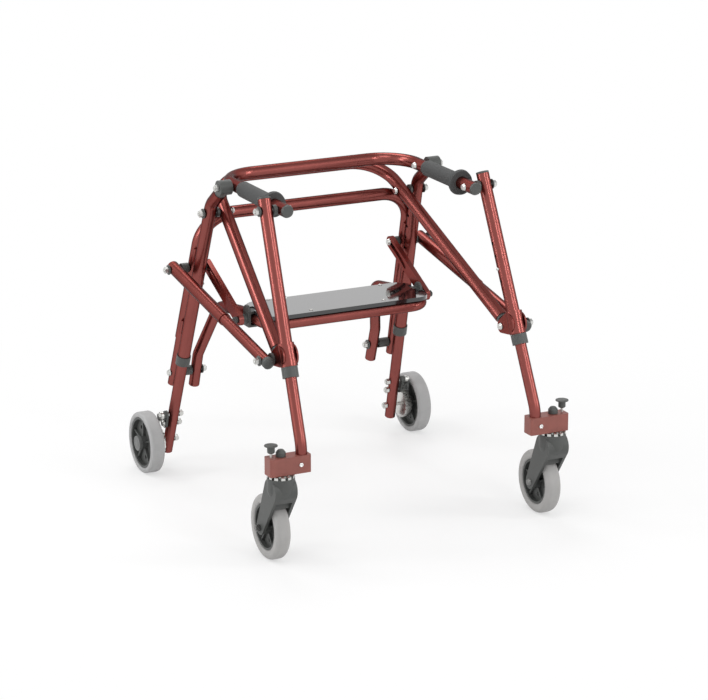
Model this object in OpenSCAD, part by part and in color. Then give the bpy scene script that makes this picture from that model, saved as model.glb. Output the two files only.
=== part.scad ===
// Posterior walker: folding tube frame, flip-up seat, swivel casters and
// one-way rear wheels. Millimetres, +Z up, the open front faces -Y.

/* [Tubes] */
// Outside diameter of the frame tubes
tube_d = 25.4; // [22:0.1:30]
// Wall of every tube
tube_wall = 1.5; // [1.2:0.1:2.2]
// Radial clearance between telescoping tubes
slide_clear = 0.08; // [0.02:0.01:0.1]
// Pivot bolt diameter
bolt_d = 8; // [6:0.5:9]
// Radial running clearance of pins in holes
run_clear = 0.05; // [0.02:0.01:0.1]
// Gap between neighbouring pieces
gap = 0.3; // [0.2:0.05:0.5]
// Extra radius in the holes of the open pivot at the front bracket
pivot_slack = 3; // [2:0.1:4]

/* [Stance] */
// Wheel diameter
wheel_d = 127; // [110:1:140]
// Wheelbase between front and rear axles
wheelbase = 570; // [540:1:620]
// Half distance between the rear legs at axle height
rear_leg_x = 257.5; // [240:0.5:280]
// Rear leg lean from vertical
rear_lean = 17.57; // [14:0.1:20]
// Gap between the top rail and the rear legs' knuckles
knuckle_gap = 1.775; // [0.5:0.01:2]
// Half track of the rear wheels
rear_wheel_x = 307; // [300:0.5:320]
// Half track of the casters
caster_x = 293; // [285:0.5:300]
// Caster trail
caster_trail = 47; // [40:1:50]

/* [Top rail] */
// Height of the top rail
rail_z = 641; // [600:1:680]
// Half width of the top rail
rail_x = 202; // [190:0.5:215]
// Rear edge of the top rail
rail_rear_y = 150; // [135:1:165]
// Bend radius of the top rail
rail_bend = 75; // [60:1:80]
// Pivot of the top rail on the rear legs
hinge_y = 59; // [53:1:65]
// Pivot of the front legs on the top rail
front_pivot_y = -147; // [-160:1:-140]
// Front end of the top rail
rail_front_y = -173; // [-190:1:-171]
// Grip diameter
grip_d = 32; // [29:0.5:36]
// Guard flange diameter
flange_d = 51; // [44:1:54]

/* [Brace hoop] */
// Depth of the brace pivot below the top rail
brace_drop = 66; // [61:1:81]
// Half width of the brace at that pivot
brace_x = 197; // [190:0.5:199]
// Length of the brace above that pivot
brace_tail = 96; // [90:1:110]
// Bend radius of the brace hoop
brace_bend = 80; // [60:1:82]

/* [Seat hoop] */
// Depth of the seat hoop below the top rail
hoop_drop = 78; // [66:1:96]
// Bend radius of the seat hoop
hoop_bend = 70; // [50:1:80]
// Depth of the link and strut pivot below the top rail
strut_drop = 191; // [171:1:211]
// Height of the seat pivot
seat_pivot_z = 211; // [200:1:225]

/* [Front legs] */
// Height of the bend above each caster block
ankle_z = 230; // [225:1:245]
// Distance of the leg's foot ahead of the caster stem
ankle_ahead = 2.4; // [0:0.1:3]
// Front leg splay
front_splay = 2.21; // [1:0.1:3]
// Half width of the front legs at the pivot
front_leg_x = 235.8; // [230:0.1:245]
// Bracket position below the pivot, along the leg
bracket_s = 276; // [260:1:290]
// Brace pivot behind the leg axis
bracket_off = 33.9; // [32:0.1:38]

/* [Links] */
// Half distance between the links
link_x = 278; // [276:0.5:284]
// Length of the link's rear tube
link_rear_len = 245; // [225:1:260]
// Length of the front tube inside the rear tube
link_lap = 90; // [80:1:100]

/* [Seat] */
// Height of the seat rails
seat_rail_z = 375.5; // [365:0.5:385]
// Half width of the seat rails
seat_rail_x = 176.5; // [165:0.5:180]
// Half width of the seat legs at the pivot
seat_leg_x = 203; // [198:0.5:208]
// Front rail of the seat
seat_front_y = -24; // [-35:1:-15]
// Strut pivot on the seat
seat_strut_y = 43; // [30:1:50]
// Seat panel thickness
panel_t = 8; // [5:0.5:12]
// Seat flip that the strut slot allows, degrees
seat_flip = 18; // [8:1:20]
// Strut turn per turn of the seat
strut_ratio = 0.955; // [0.5:0.005:2]

/* [Hidden] */
$fn = 48;
axle_z = wheel_d / 2;
// the crowns of the casters reach further forward than the tyres
base_y = 5;
rear_axle_y = wheelbase / 2 + base_y;
front_axle_y = base_y - wheelbase / 2;
brace_z = rail_z - brace_drop;
hoop_z = rail_z - hoop_drop;
strut_z = rail_z - strut_drop;
tube_r = tube_d / 2;
inner_d = tube_d - 2 * tube_wall - 2 * slide_clear;
inner_r = inner_d / 2;
bolt_hole = bolt_d + 2 * run_clear;
slack_hole = bolt_d + 2 * pivot_slack;
stem_y = front_axle_y - caster_trail;
front_lean = atan((front_pivot_y - stem_y + ankle_ahead) / (rail_z - ankle_z));
hole_pitch = 25.4;
button_d = 7;
button_hole = button_d + 2 * run_clear;
button_travel = 2.5;

// rear leg bend: the line from the hinge falls back at knee_rise degrees
knee_rise = 37;
rear_rise = rail_z - axle_z;
knee_len = (rear_axle_y - tan(rear_lean) * rear_rise - hinge_y) / (cos(knee_rise) - tan(rear_lean) * sin(knee_rise));
knee_z = rail_z - knee_len * sin(knee_rise);
knee_x = rail_x + tube_d + knuckle_gap;
rear_splay = atan((rear_leg_x - knee_x) / (knee_z - axle_z));

// vectors
function unit(v) = v / norm(v);
rear_up = unit([-tan(rear_splay), -tan(rear_lean), 1]);
front_dn = unit([tan(front_splay) , -tan(front_lean), -1]);
function rear_at(z) = [rear_leg_x, rear_axle_y, axle_z] + rear_up * ((z - axle_z) / rear_up.z);
hoop_back = (tube_d + gap + 0.3) / cos(rear_lean);
function hoop_at(z) = rear_at(z) + [0, hoop_back, 0];
front_top = [front_leg_x, front_pivot_y, rail_z];
function front_at(s) = front_top + front_dn * s;
bracket_c = front_at(bracket_s);
bracket_n = [0, cos(front_lean), -sin(front_lean)];
b1 = [0, hinge_y, rail_z];
b2 = rear_at(brace_z);
b4 = hoop_at(strut_z);
b5 = bracket_c + bracket_off * bracket_n;
b6 = hoop_at(seat_pivot_z);
b8 = [0, seat_strut_y, seat_rail_z];
ankle = front_at((ankle_z - rail_z) / front_dn.z);

knee = [knee_x, hinge_y + knee_len * cos(knee_rise), knee_z];
knee_bend = 40;
hinge_c = [knee.x, hinge_y, rail_z];
knee_u = unit(knee - hinge_c);
barrel_d = 30;

// brace line
brace_dir = unit([brace_x, b2.y, b2.z] - [bracket_c.x, b5.y, b5.z]);
brace_low = [bracket_c.x, b5.y, b5.z];
brace_corner = [brace_x, b2.y, b2.z] + brace_tail * brace_dir;
fit_len = 24;
// face gaps against tubes that splay
skew_gap = 0.9;
brace_gap = 1.8;
function rear_s(s) = [rear_leg_x, rear_axle_y, axle_z] + rear_up * s;

// bolt hardware
head_h = 4.5;
head_d = 14;
nut_h = 7;
nut_d = 14;
washer_t = 2;
washer_d = 20;

// links
link_a = [link_x, b4.y, b4.z];
link_b = [link_x, b5.y, b5.z];
link_len = norm(link_b - link_a);
link_u = unit(link_b - link_a);

// seat
seat_leg_low = [seat_leg_x, b6.y, b6.z] - 36.8 * unit([0, -23, 71]);
seat_knee = [seat_leg_x, b6.y, b6.z] + 37.8 * unit([0, -23, 71]);
seat_heel = [seat_rail_x, 210, seat_rail_z - 17.5];
seat_mid = [seat_rail_x, 95, seat_rail_z];
seat_front = [seat_rail_x, seat_front_y, seat_rail_z];
panel_z = seat_rail_z + inner_r + 0.1;
strut_in = 202;
strut_out = 212;
strut_w = 24;

// roll mark at the ends of a bend
seam_d = 0.12;
seam_len = 0.5;

// general shapes
module along(p, q, d, d2 = 0) {
    v = q - p;
    translate(p)
        rotate([0, acos(v.z / norm(v)), atan2(v.y, v.x)])
            cylinder(h = norm(v), d1 = d, d2 = d2 > 0 ? d2 : d);
}

module xcyl(p, x0, x1, d, d2 = 0) {
    translate([x0, p.y, p.z])
        rotate([0, 90, 0])
            cylinder(h = x1 - x0, d1 = d, d2 = d2 > 0 ? d2 : d);
}

module elbow(a, b, c, r, d) {
    u = unit(b - a);
    v = unit(c - b);
    turn = acos(u * v);
    t = r * tan(turn / 2);
    n = unit(v - (u * v) * u);
    w = cross(u, n);
    o = b - t * u + r * n;
    multmatrix([[-n.x, u.x, w.x, o.x], [-n.y, u.y, w.y, o.y], [-n.z, u.z, w.z, o.z]])
        rotate_extrude(angle = turn)
            translate([r, 0])
                circle(d = d);
}

function tangent(a, b, c, r) = r * tan(acos(unit(b - a) * unit(c - b)) / 2);

module bent_rod(pts, radii, d) {
    last = len(pts) - 1;
    for (i = [0 : last - 1]) {
        u = unit(pts[i + 1] - pts[i]);
        t0 = i == 0 ? 0 : tangent(pts[i - 1], pts[i], pts[i + 1], radii[i - 1]);
        t1 = i == last - 1 ? 0 : tangent(pts[i], pts[i + 1], pts[i + 2], radii[i]);
        along(pts[i] + t0 * u, pts[i + 1] - t1 * u, d);
        // a faint roll mark bridges each end of a bend
        if (i > 0)
            along(pts[i] + (t0 - seam_len) * u, pts[i] + (t0 + seam_len) * u, d + seam_d);
        if (i < last - 1)
            along(pts[i + 1] - (t1 + seam_len) * u, pts[i + 1] - (t1 - seam_len) * u, d + seam_d);
    }
    for (i = [1 : 1 : last - 1])
        elbow(pts[i - 1], pts[i], pts[i + 1], radii[i - 1], d);
}

function stretched(pts, e) =
    let (last = len(pts) - 1)
    [for (i = [0 : last])
        i == 0 ? pts[0] - e * unit(pts[1] - pts[0])
        : i == last ? pts[last] + e * unit(pts[last] - pts[last - 1])
        : pts[i]];

module bent_tube(pts, radii, d) {
    difference() {
        bent_rod(pts, radii, d);
        bent_rod(stretched(pts, 1), radii, d - 2 * tube_wall);
    }
}

module both() {
    children();
    mirror([1, 0, 0]) children();
}

module side(s) {
    if (s > 0) children();
    if (s < 0) mirror([1, 0, 0]) children();
}

module bolt(p, x0, x1, out = 1) {
    // head bears on x0, nut bears on x1, out = 1 puts the nut outside
    xcyl(p, out > 0 ? x0 - head_h : x1, out > 0 ? x0 : x1 + head_h, out > 0 ? head_d - 4 : head_d,
        out > 0 ? head_d : head_d - 4);
    xcyl(p, out > 0 ? x0 - 1 : x0 - nut_h - 2, out > 0 ? x1 + nut_h + 2 : x1 + 1, bolt_d);
}

module nut(p, x) {
    difference() {
        translate([x, p.y, p.z])
            rotate([0, 90, 0])
                cylinder(h = nut_h, d = nut_d, $fn = 6);
        xcyl(p, x - 1, x + nut_h + 1, bolt_hole);
    }
}

module ring(p, x0, x1, d) {
    difference() {
        xcyl(p, x0, x1, d);
        xcyl(p, x0 - 1, x1 + 1, bolt_hole);
    }
}

module capsule(p, r1, q, r2) {
    d = norm(q - p);
    a = atan2(q.y - p.y, q.x - p.x);
    b = acos((r1 - r2) / d);
    translate(p) circle(r = r1);
    translate(q) circle(r = r2);
    polygon([
        p + r1 * [cos(a + b), sin(a + b)],
        p + r1 * [cos(a - b), sin(a - b)],
        q + r2 * [cos(a - b), sin(a - b)],
        q + r2 * [cos(a + b), sin(a + b)]]);
}

// side profile drawn in (y, z) and extruded along x
module side_plate(x0, x1) {
    multmatrix([[0, 0, 1, x0], [1, 0, 0, 0], [0, 1, 0, 0]])
        linear_extrude(height = x1 - x0)
            children();
}

// rear frame
rear_tube_s = 188;
rear_leg_end = 24;
module rear_leg(s) {
    color("FireBrick") side(s) difference() {
        bent_tube([rear_s(rear_tube_s), knee, hinge_c + rear_leg_end * knee_u], [knee_bend], tube_d);
        xcyl(b2, b2.x - 20, b2.x + 20, bolt_hole);
        xcyl(rear_button, rear_button.x - 20, rear_button.x, button_hole);
        for (i = [1 : 5])
            xcyl(rear_button + i * hole_pitch * rear_up, rear_button.x - 40, rear_button.x - i, button_hole);
    }
}

// the height button sits this far below the top rail
rear_button_drop = 223;
rear_button = rear_at(rail_z - rear_button_drop);
front_button = front_at(168);

module seat_hoop() {
    color("FireBrick") {
        difference() {
            union() {
                bent_tube([hoop_at(292), hoop_at(hoop_z), hoop_at(hoop_z) - [2 * hoop_at(hoop_z).x, 0, 0],
                    [-hoop_at(292).x, hoop_at(292).y, 292]], [hoop_bend, hoop_bend], tube_d);
                both() for (d = weld_drops) weld(rail_z - d);
            }
            xcyl(b4, -300, 300, bolt_hole);
        }
    }
}

// the welds that join the hoop to the rear legs, below the top rail
weld_drops = [321, 161];
weld_len = 30;
weld_d = 8;
module weld(z) {
    m = (rear_at(z) + hoop_at(z)) / 2;
    difference() {
        for (dx = [-9, 9])
            along(m + [dx, 0, 0] - weld_len / 2 * rear_up, m + [dx, 0, 0] + weld_len / 2 * rear_up, weld_d);
        along(rear_at(z) - 40 * rear_up, rear_at(z) + 40 * rear_up, tube_d + 2 * run_clear);
        along(hoop_at(z) - 40 * rear_up, hoop_at(z) + 40 * rear_up, tube_d - 1);
    }
}

module hoop_extensions() {
    color("FireBrick") both() difference() {
        bent_tube([hoop_at(185), hoop_at(355)], [], inner_d);
        xcyl(b6, 200, 300, bolt_hole);
    }
}

collar_d = 31.5;
// the rear collars clear the hoop's extension tubes
rear_collar_d = 2 * (hoop_back * cos(rear_lean) - inner_r - gap);
collar_len = 20;
collar_lip = 4;
module collar(p, u, d) {
    // u points from the lip towards the tube that the collar sits on
    difference() {
        along(p, p + collar_len * u, d);
        along(p + collar_lip * u, p + (collar_len + 1) * u, tube_d + 2 * run_clear);
        along(p - u, p + (collar_lip + 1) * u, inner_d + 2 * slide_clear);
    }
}

module leg_knuckles() {
    color("DimGray") both() {
        difference() {
            union() {
                xcyl(hinge_c, knee.x - tube_r, knee.x + tube_r, barrel_d);
                along(hinge_c, hinge_c + (rear_leg_end - gap) * knee_u, tube_d - 2);
                along(hinge_c, hinge_c + (rear_leg_end + 16) * knee_u, tube_d - 2 * tube_wall - 2 * run_clear);
            }
            xcyl(hinge_c, 150, 300, bolt_hole);
        }
    }
}

module frame_spacers() {
    color("DimGray") both() {
        ring(b2, brace_x + tube_r + brace_gap, b2.x - tube_r - skew_gap, washer_d);
        ring(b2, b2.x + tube_r + skew_gap, b2.x + tube_r + skew_gap + washer_t, washer_d);
        ring(b4, strut_out + gap, b4.x - tube_r - skew_gap, washer_d);
        ring(b4, b4.x + tube_r + skew_gap, link_x - tube_r - gap, washer_d);
        ring(b4, link_x + tube_r + gap, link_x + tube_r + gap + washer_t, washer_d);
        ring(b6, seat_leg_x + inner_r + gap, b6.x - inner_r - skew_gap, washer_d);
        ring(b6, seat_leg_x - inner_r - gap - washer_t, seat_leg_x - inner_r - gap, washer_d);
        collar(rear_s(rear_tube_s - collar_lip - gap), rear_up, rear_collar_d);
    }
}

b1_in = rail_x - tube_r - gap;
b1_out = knee.x + tube_r + gap;
b2_in = brace_x - tube_r - brace_gap;
b2_out = b2.x + tube_r + skew_gap + washer_t + gap;
b4_in = strut_in - gap;
b4_out = link_x + tube_r + washer_t + 2 * gap;
b6_in = seat_leg_x - inner_r - washer_t - 2 * gap;
b6_out = b6.x + inner_r + skew_gap;
module frame_bolts() {
    color("Silver") both() {
        bolt(hinge_c, b1_in, b1_out);
        nut(hinge_c, b1_out);
        bolt(b2, b2_in, b2_out);
        nut(b2, b2_out);
        bolt(b4, b4_in, b4_out);
        nut(b4, b4_out);
        bolt(b6, b6_in, b6_out, -1);
        nut(b6, b6_in - nut_h);
    }
}

// top rail
module top_rail() {
    y0 = rail_front_y + 4;
    color("FireBrick") difference() {
        bent_tube([[rail_x, y0, rail_z], [rail_x, rail_rear_y, rail_z], [-rail_x, rail_rear_y, rail_z],
            [-rail_x, y0, rail_z]], [rail_bend, rail_bend], tube_d);
        xcyl(hinge_c, -300, 300, bolt_hole);
        xcyl(front_top, -300, 300, bolt_hole);
    }
}

grip_rear_y = 32;
grip_front_y = -107;
flange_t = 7;
module hand_grips() {
    color("DimGray") both() translate([rail_x, 0, rail_z]) rotate([90, 0, 0]) difference() {
        union() {
            translate([0, 0, -grip_rear_y]) cylinder(h = 6, d1 = grip_d - 4, d2 = grip_d);
            translate([0, 0, 6 - grip_rear_y]) cylinder(h = grip_rear_y - grip_front_y - 6, d = grip_d);
            translate([0, 0, -grip_front_y - 1]) cylinder(h = flange_t, d1 = flange_d, d2 = flange_d - 3);
        }
        translate([0, 0, -grip_rear_y - 1])
            cylinder(h = grip_rear_y - grip_front_y + flange_t + 2, d = tube_d + 2 * run_clear);
    }
}

module rail_end_plugs() {
    color("DimGray") both() {
        translate([rail_x, rail_front_y + 4 - gap, rail_z]) rotate([90, 0, 0]) {
            cylinder(h = 4, d1 = tube_d, d2 = tube_d - 3);
            translate([0, 0, -14]) cylinder(h = 15, d = tube_d - 2 * tube_wall - 2 * run_clear);
        }
        ring(front_top, rail_x + tube_r + gap, front_leg_x - tube_r - skew_gap, washer_d);
        ring(front_top, front_leg_x + tube_r + skew_gap, front_leg_x + tube_r + skew_gap + washer_t, washer_d);
    }
}

b3_out = front_leg_x + tube_r + skew_gap + washer_t + gap;
module front_pivot_bolts() {
    color("Silver") both() {
        bolt(front_top, b1_in, b3_out);
        nut(front_top, b3_out);
    }
}

// brace hoop
module brace_hoop() {
    p = brace_low + fit_len * brace_dir;
    color("FireBrick") difference() {
        bent_tube([p, brace_corner, [-brace_corner.x, brace_corner.y, brace_corner.z], [-p.x, p.y, p.z]],
            [brace_bend, brace_bend], tube_d);
        xcyl(b2, -300, 300, bolt_hole);
    }
}

fit_w = 24;
// neck between the eye and the flange that meets the tube
neck_d = 17;
neck_flange = 5;
plug_len = 18;
module brace_end_fittings() {
    color("DimGray") both() difference() {
        union() {
            xcyl(b5, bracket_c.x - fit_w / 2, bracket_c.x + fit_w / 2, fit_w);
            along(brace_low, brace_low + (fit_len - gap) * brace_dir, neck_d);
            along(brace_low + (fit_len - neck_flange) * brace_dir, brace_low + (fit_len - gap) * brace_dir, fit_w - 2);
            along(brace_low + (fit_len - 1) * brace_dir, brace_low + (fit_len + plug_len) * brace_dir,
                tube_d - 2 * tube_wall - 2 * run_clear);
        }
        xcyl(b5, 100, 300, slack_hole);
    }
}

// front legs
front_tube_s = 315;
module front_leg(s) {
    color("FireBrick") side(s) difference() {
        bent_tube([front_at(-22), front_at(front_tube_s)], [], tube_d);
        xcyl(front_top, 150, 300, bolt_hole);
        for (i = [-1 : 2])
            xcyl(front_button - i * hole_pitch * front_dn, front_button.x - 30, front_button.x, button_hole);
    }
}

sleeve_d = 32.4;
sleeve_len = 45;
cheek_t = 3.2;
cheek_r = 13;
cheek_x = sleeve_d / 2 - 0.4;
module front_brackets() {
    color("FireBrick") both() difference() {
        translate(bracket_c) rotate([-front_lean, 0, 0]) difference() {
            union() {
                translate([0, 0, -sleeve_len / 2]) cylinder(h = sleeve_len, d = sleeve_d);
                for (x = [-cheek_x, cheek_x - cheek_t])
                    side_plate(x, x + cheek_t) cheek();
            }
            side_plate(-cheek_x + cheek_t, cheek_x - cheek_t)
                translate([tube_r + 1.5, -sleeve_len]) square([60, 2 * sleeve_len]);
        }
        along(bracket_c - 60 * front_dn, bracket_c + 60 * front_dn, tube_d + 2 * run_clear);
        xcyl(b5, 200, 300, bolt_hole);
    }
}

module cheek() {
    capsule([bracket_off, 0], cheek_r, [5, 0], sleeve_len / 2 - 1.5);
}

module front_leg_trim() {
    color("DimGray") both() {
        collar(front_at(front_tube_s + collar_lip + gap), -front_dn, collar_d);
        difference() {
            union() {
                along(front_at(-22 - gap), front_at(-26), tube_d);
                along(front_at(-23), front_at(-10), tube_d - 2 * tube_wall - 2 * run_clear);
            }
            along(front_at(-20), front_at(0), tube_d - 4 * tube_wall);
        }
        ring(b5, b5_cheek + gap, link_x - inner_r - gap, washer_d + 4);
        ring(b5, link_x + inner_r + gap, link_x + inner_r + gap + washer_t, washer_d);
    }
}

b5_cheek = bracket_c.x + sleeve_d / 2;
b5_in = bracket_c.x - sleeve_d / 2 - gap;
b5_out = link_x + inner_r + washer_t + 2 * gap;
module bracket_bolts() {
    color("Silver") both() {
        bolt(b5, b5_in, b5_out);
        nut(b5, b5_out);
    }
}

// lower front legs and casters
// crown of the fork above the tyre
fork_rise = 49;
fork_z1 = wheel_d + fork_rise;
// block above the crown of the fork, and its height
block_rise = 6;
block_h = 34.5;
block_z0 = fork_z1 + block_rise;
block_z1 = block_z0 + block_h;
// the block runs past the tube on one side and past the lock on the other
block_in = 15.5;
block_out = 8;
block_half = 15;
block_round = 4;
// closed floor under the tube's socket
block_floor = 4;
lock_x = caster_x + 20;
module front_leg_lower(s) {
    color("FireBrick") side(s) difference() {
        bent_tube([front_at(140), ankle, [ankle.x, ankle.y, block_z0 + block_floor + 1]], [60], inner_d);
        for (i = [-2 : 2])
            xcyl(front_button + i * hole_pitch * front_dn, front_button.x - 40, front_button.x + 2 * i, button_hole + 0.5);
    }
}

module caster_block(s) {
    x0 = ankle.x - block_in;
    x1 = lock_x + block_out;
    color("IndianRed") side(s) difference() {
        translate([0, 0, block_z0]) linear_extrude(height = block_z1 - block_z0) {
            translate([x0 + block_round, stem_y - block_half]) square([x1 - x0 - 2 * block_round, 2 * block_half]);
            translate([x0, stem_y - block_half + block_round]) square([x1 - x0, 2 * (block_half - block_round)]);
            for (x = [x0 + block_round, x1 - block_round], y = [-1, 1])
                translate([x, stem_y + y * (block_half - block_round)]) circle(r = block_round);
        }
        translate([ankle.x, ankle.y, block_z0 + block_floor]) cylinder(h = 60, d = inner_d + 2 * run_clear);
        translate([caster_x, stem_y, block_z0 - 1]) cylinder(h = 60, d = stem_d + 2 * run_clear);
        translate([lock_x, stem_y, block_z0 - 1]) cylinder(h = 60, d = lock_d + 2 * run_clear);
    }
}

stem_d = 12;
stem_sink = 32;
stem_nut_d = 19;
stem_nut_h = 8;
stem_dome_h = 5;
stem_dome_d = 11;
module caster_stem(s) {
    nut_z = block_z1 + gap;
    color("DimGray") side(s) translate([caster_x, stem_y, 0]) {
        translate([0, 0, fork_z1 - stem_sink]) cylinder(h = nut_z + 2 - fork_z1 + stem_sink, d = stem_d);
        translate([0, 0, nut_z]) cylinder(h = stem_nut_h, d = stem_nut_d);
        translate([0, 0, nut_z + stem_nut_h]) cylinder(h = stem_dome_h, d1 = stem_nut_d, d2 = stem_dome_d);
    }
}

// spring plunger that locks the swivel: pin, barrel and a thin knob
lock_d = 5;
// the pin's lower end when the swivel is free
lock_rest = 7;
lock_barrel_d = 14.5;
lock_barrel_h = 14;
lock_barrel_taper = 2;
// the barrel stays clear of the block when it is pushed in
lock_travel = 6;
knob_d = 25.5;
knob_t = 1.8;
knob_crown = 1;
module lock_plunger(s) {
    barrel_z = block_z1 + lock_travel + 3;
    knob_z = barrel_z + lock_barrel_h;
    color("DimGray") side(s) translate([lock_x, stem_y, 0]) {
        translate([0, 0, fork_z1 + lock_rest]) cylinder(h = barrel_z + 1 - fork_z1 - lock_rest, d = lock_d);
        translate([0, 0, barrel_z]) cylinder(h = lock_barrel_taper, d1 = lock_barrel_d - 2 * lock_barrel_taper, d2 = lock_barrel_d);
        translate([0, 0, barrel_z + lock_barrel_taper]) cylinder(h = lock_barrel_h - lock_barrel_taper, d = lock_barrel_d);
        translate([0, 0, knob_z]) cylinder(h = knob_t, d = knob_d);
        translate([0, 0, knob_z + knob_t]) cylinder(h = knob_crown, d1 = knob_d, d2 = knob_d - 8);
    }
}

fork_w = 46;
fork_gap = 34;
// the round crown and the cone that draws it in to the arms
crown_d = 53;
crown_h = 26;
crown_z0 = fork_z1 - crown_h;
crown_cone = 12;
// each arm tapers from the crown to the axle
arm_top_r = 25;
arm_end_r = 14;
wheel_room = 4;
// the bridge between the arms, level with the tyre's crown
bridge_z = wheel_d;
ring_z0 = fork_z1 + gap;
ring_t = 5;
ring_d = 52;
notches = 12;
module caster_fork(s) {
    axle = [front_axle_y, axle_z];
    color("DimGray") side(s) difference() {
        union() {
            translate([caster_x, stem_y, crown_z0]) cylinder(h = fork_z1 - crown_z0, d = crown_d);
            translate([caster_x, stem_y, crown_z0 - crown_cone])
                cylinder(h = crown_cone, d1 = fork_w - 1, d2 = crown_d);
            side_plate(caster_x - fork_w / 2, caster_x + fork_w / 2)
                capsule(axle, arm_end_r, [stem_y, crown_z0], arm_top_r);
        }
        side_plate(caster_x - fork_gap / 2, caster_x + fork_gap / 2) {
            translate(axle) circle(d = wheel_d + 2 * wheel_room, $fn = 96);
            translate([stem_y - crown_d, axle_z]) square([crown_d, bridge_z - axle_z]);
        }
        xcyl([0, front_axle_y, axle_z], caster_x - fork_w, caster_x + fork_w, bolt_hole);
        translate([caster_x, stem_y, fork_z1 - stem_sink - 2]) cylinder(h = 60, d = stem_d + 2 * run_clear);
    }
}

module caster_steel(s) {
    p = [0, front_axle_y, axle_z];
    x0 = caster_x - fork_w / 2 - gap;
    x1 = caster_x + fork_w / 2 + gap;
    color("Silver") side(s) {
        bolt(p, x0, x1);
        nut(p, x1);
        translate([caster_x, stem_y, ring_z0]) difference() {
            cylinder(h = ring_t, d = ring_d);
            translate([0, 0, -1]) cylinder(h = ring_t + 2, d = stem_d + 6);
            for (i = [0 : notches - 1])
                rotate(i * 360 / notches) {
                    translate([lock_x - caster_x, 0, -1]) cylinder(h = ring_t + 2, d = lock_d + 1);
                    translate([lock_x - caster_x, -lock_d / 2 - 0.5, -1]) cube([ring_d, lock_d + 1, ring_t + 2]);
                }
        }
    }
}

// wheels, drawn about the x axis
tyre_w = 30;
// rubber on the rim, front and rear
front_tyre_t = 18.5;
rear_tyre_t = 11;
front_rim_d = wheel_d - 2 * front_tyre_t;
rear_rim_d = wheel_d - 2 * rear_tyre_t;
hub_bore = bolt_hole;
tyre_round = 10;
bead_round = 4;
module tyre(x, y, rim_d) {
    crown = min(tyre_round, (wheel_d - rim_d) / 4 - 0.3);
    crown_r = wheel_d / 2 - crown;
    bead_r = rim_d / 2 + bead_round;
    translate([x, y, axle_z]) rotate([0, 90, 0]) rotate_extrude($fn = 96) {
        translate([rim_d / 2, -tyre_w / 2 + bead_round]) square([bead_round + 1, tyre_w - 2 * bead_round]);
        if (crown_r > bead_r)
            translate([bead_r, -tyre_w / 2]) square([crown_r - bead_r, tyre_w]);
        translate([bead_r - 1, -tyre_w / 2 + crown])
            square([wheel_d / 2 - bead_r + 1, tyre_w - 2 * crown]);
        for (z = [-1, 1]) {
            translate([crown_r, z * (tyre_w / 2 - crown)]) circle(r = crown);
            translate([bead_r, z * (tyre_w / 2 - bead_round)]) circle(r = bead_round);
        }
    }
}

spokes = 5;
rim_t = 4;
rim_w = 25;
web_t = 6;
rib_t = 3.5;
rib_w = 17;
boss_d = 28;
module hub(x, y, boss, rim_d) {
    rim_r = rim_d / 2 - gap;
    web_r = rim_r - rim_t;
    translate([x, y, axle_z]) rotate([0, 90, 0]) difference() {
        union() {
            difference() {
                cylinder(h = rim_w, r = rim_r, center = true, $fn = 96);
                cylinder(h = rim_w + 2, r = web_r, center = true, $fn = 96);
            }
            cylinder(h = web_t, r = web_r + 1, center = true, $fn = 96);
            for (i = [0 : spokes - 1])
                rotate(36 + i * 360 / spokes)
                    translate([6, -rib_t / 2, -rib_w / 2])
                        cube([web_r - 5, rib_t, rib_w]);
            cylinder(h = boss, d = boss_d, center = true);
        }
        for (i = [0 : spokes - 1])
            rotate(i * 360 / spokes)
                translate([web_r * 0.68, 0, -web_t])
                    cylinder(h = 2 * web_t, d = 9);
        cylinder(h = 80, d = hub_bore, center = true);
    }
}

module front_tyre(s) { color("Gainsboro") side(s) tyre(caster_x, front_axle_y, front_rim_d); }
module front_hub(s) { color("DimGray") side(s) hub(caster_x, front_axle_y, fork_gap - 2 * gap, front_rim_d); }

// rear lower legs
module rear_leg_lower(s) {
    color("FireBrick") side(s) difference() {
        bent_tube([rear_s(-29), rear_s(400)], [], inner_d);
        for (q = [0, 40, 61])
            xcyl(rear_s(q), 200, 300, bolt_hole);
        for (i = [-2 : 2])
            xcyl(rear_button + i * hole_pitch * rear_up, rear_button.x - 40, rear_button.x - i, button_hole + 0.5);
    }
}

hub_in = rear_wheel_x - 15;
ratchet_x0 = 277;
wheel_face = 324;
module rear_axle(s) {
    p = rear_s(0);
    n = p.x - inner_r - skew_gap;
    color("Silver") side(s) {
        bolt(p, n, wheel_face, -1);
        nut(p, n - nut_h);
        for (q = [40, 61]) {
            r = rear_s(q);
            m = r.x - inner_r - skew_gap;
            bolt(r, m, q == 61 ? pawl_x1 + gap : plate_x1 + gap, -1);
            nut(r, m - nut_h);
        }
    }
}

plate_x0 = 268.4;
plate_x1 = 273;
// the pawl swings past the head of the lower bracket bolt
pawl_t = 6;
pawl_x0 = plate_x1 + head_h + 2 * gap;
pawl_x1 = pawl_x0 + pawl_t;
module pawl_bracket(s) {
    color("DimGray") side(s) difference() {
        union() {
            side_plate(plate_x0, plate_x1)
                capsule([rear_s(40).y, rear_s(40).z], 9, [rear_s(61).y, rear_s(61).z], 9);
            xcyl(rear_s(61), plate_x0, pawl_x0 - gap, 16);
        }
        for (q = [40, 61])
            xcyl(rear_s(q), 200, 300, bolt_hole);
    }
}

ratchet_r = 31;
ratchet_teeth = 20;
pawl_c = [rear_s(61).y, rear_s(61).z];
wheel_c = [rear_axle_y, axle_z];
pawl_ang = 76;
pawl_tip_r = 1.6;
pawl_tip = wheel_c + (ratchet_r + pawl_tip_r + 0.6) * [cos(pawl_ang), sin(pawl_ang)];
module pawl(s) {
    color("Silver") side(s) difference() {
        side_plate(pawl_x0, pawl_x1) {
            capsule(pawl_c, 8, pawl_tip, pawl_tip_r);
        }
        xcyl(rear_s(61), 200, 300, bolt_hole);
    }
}

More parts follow.
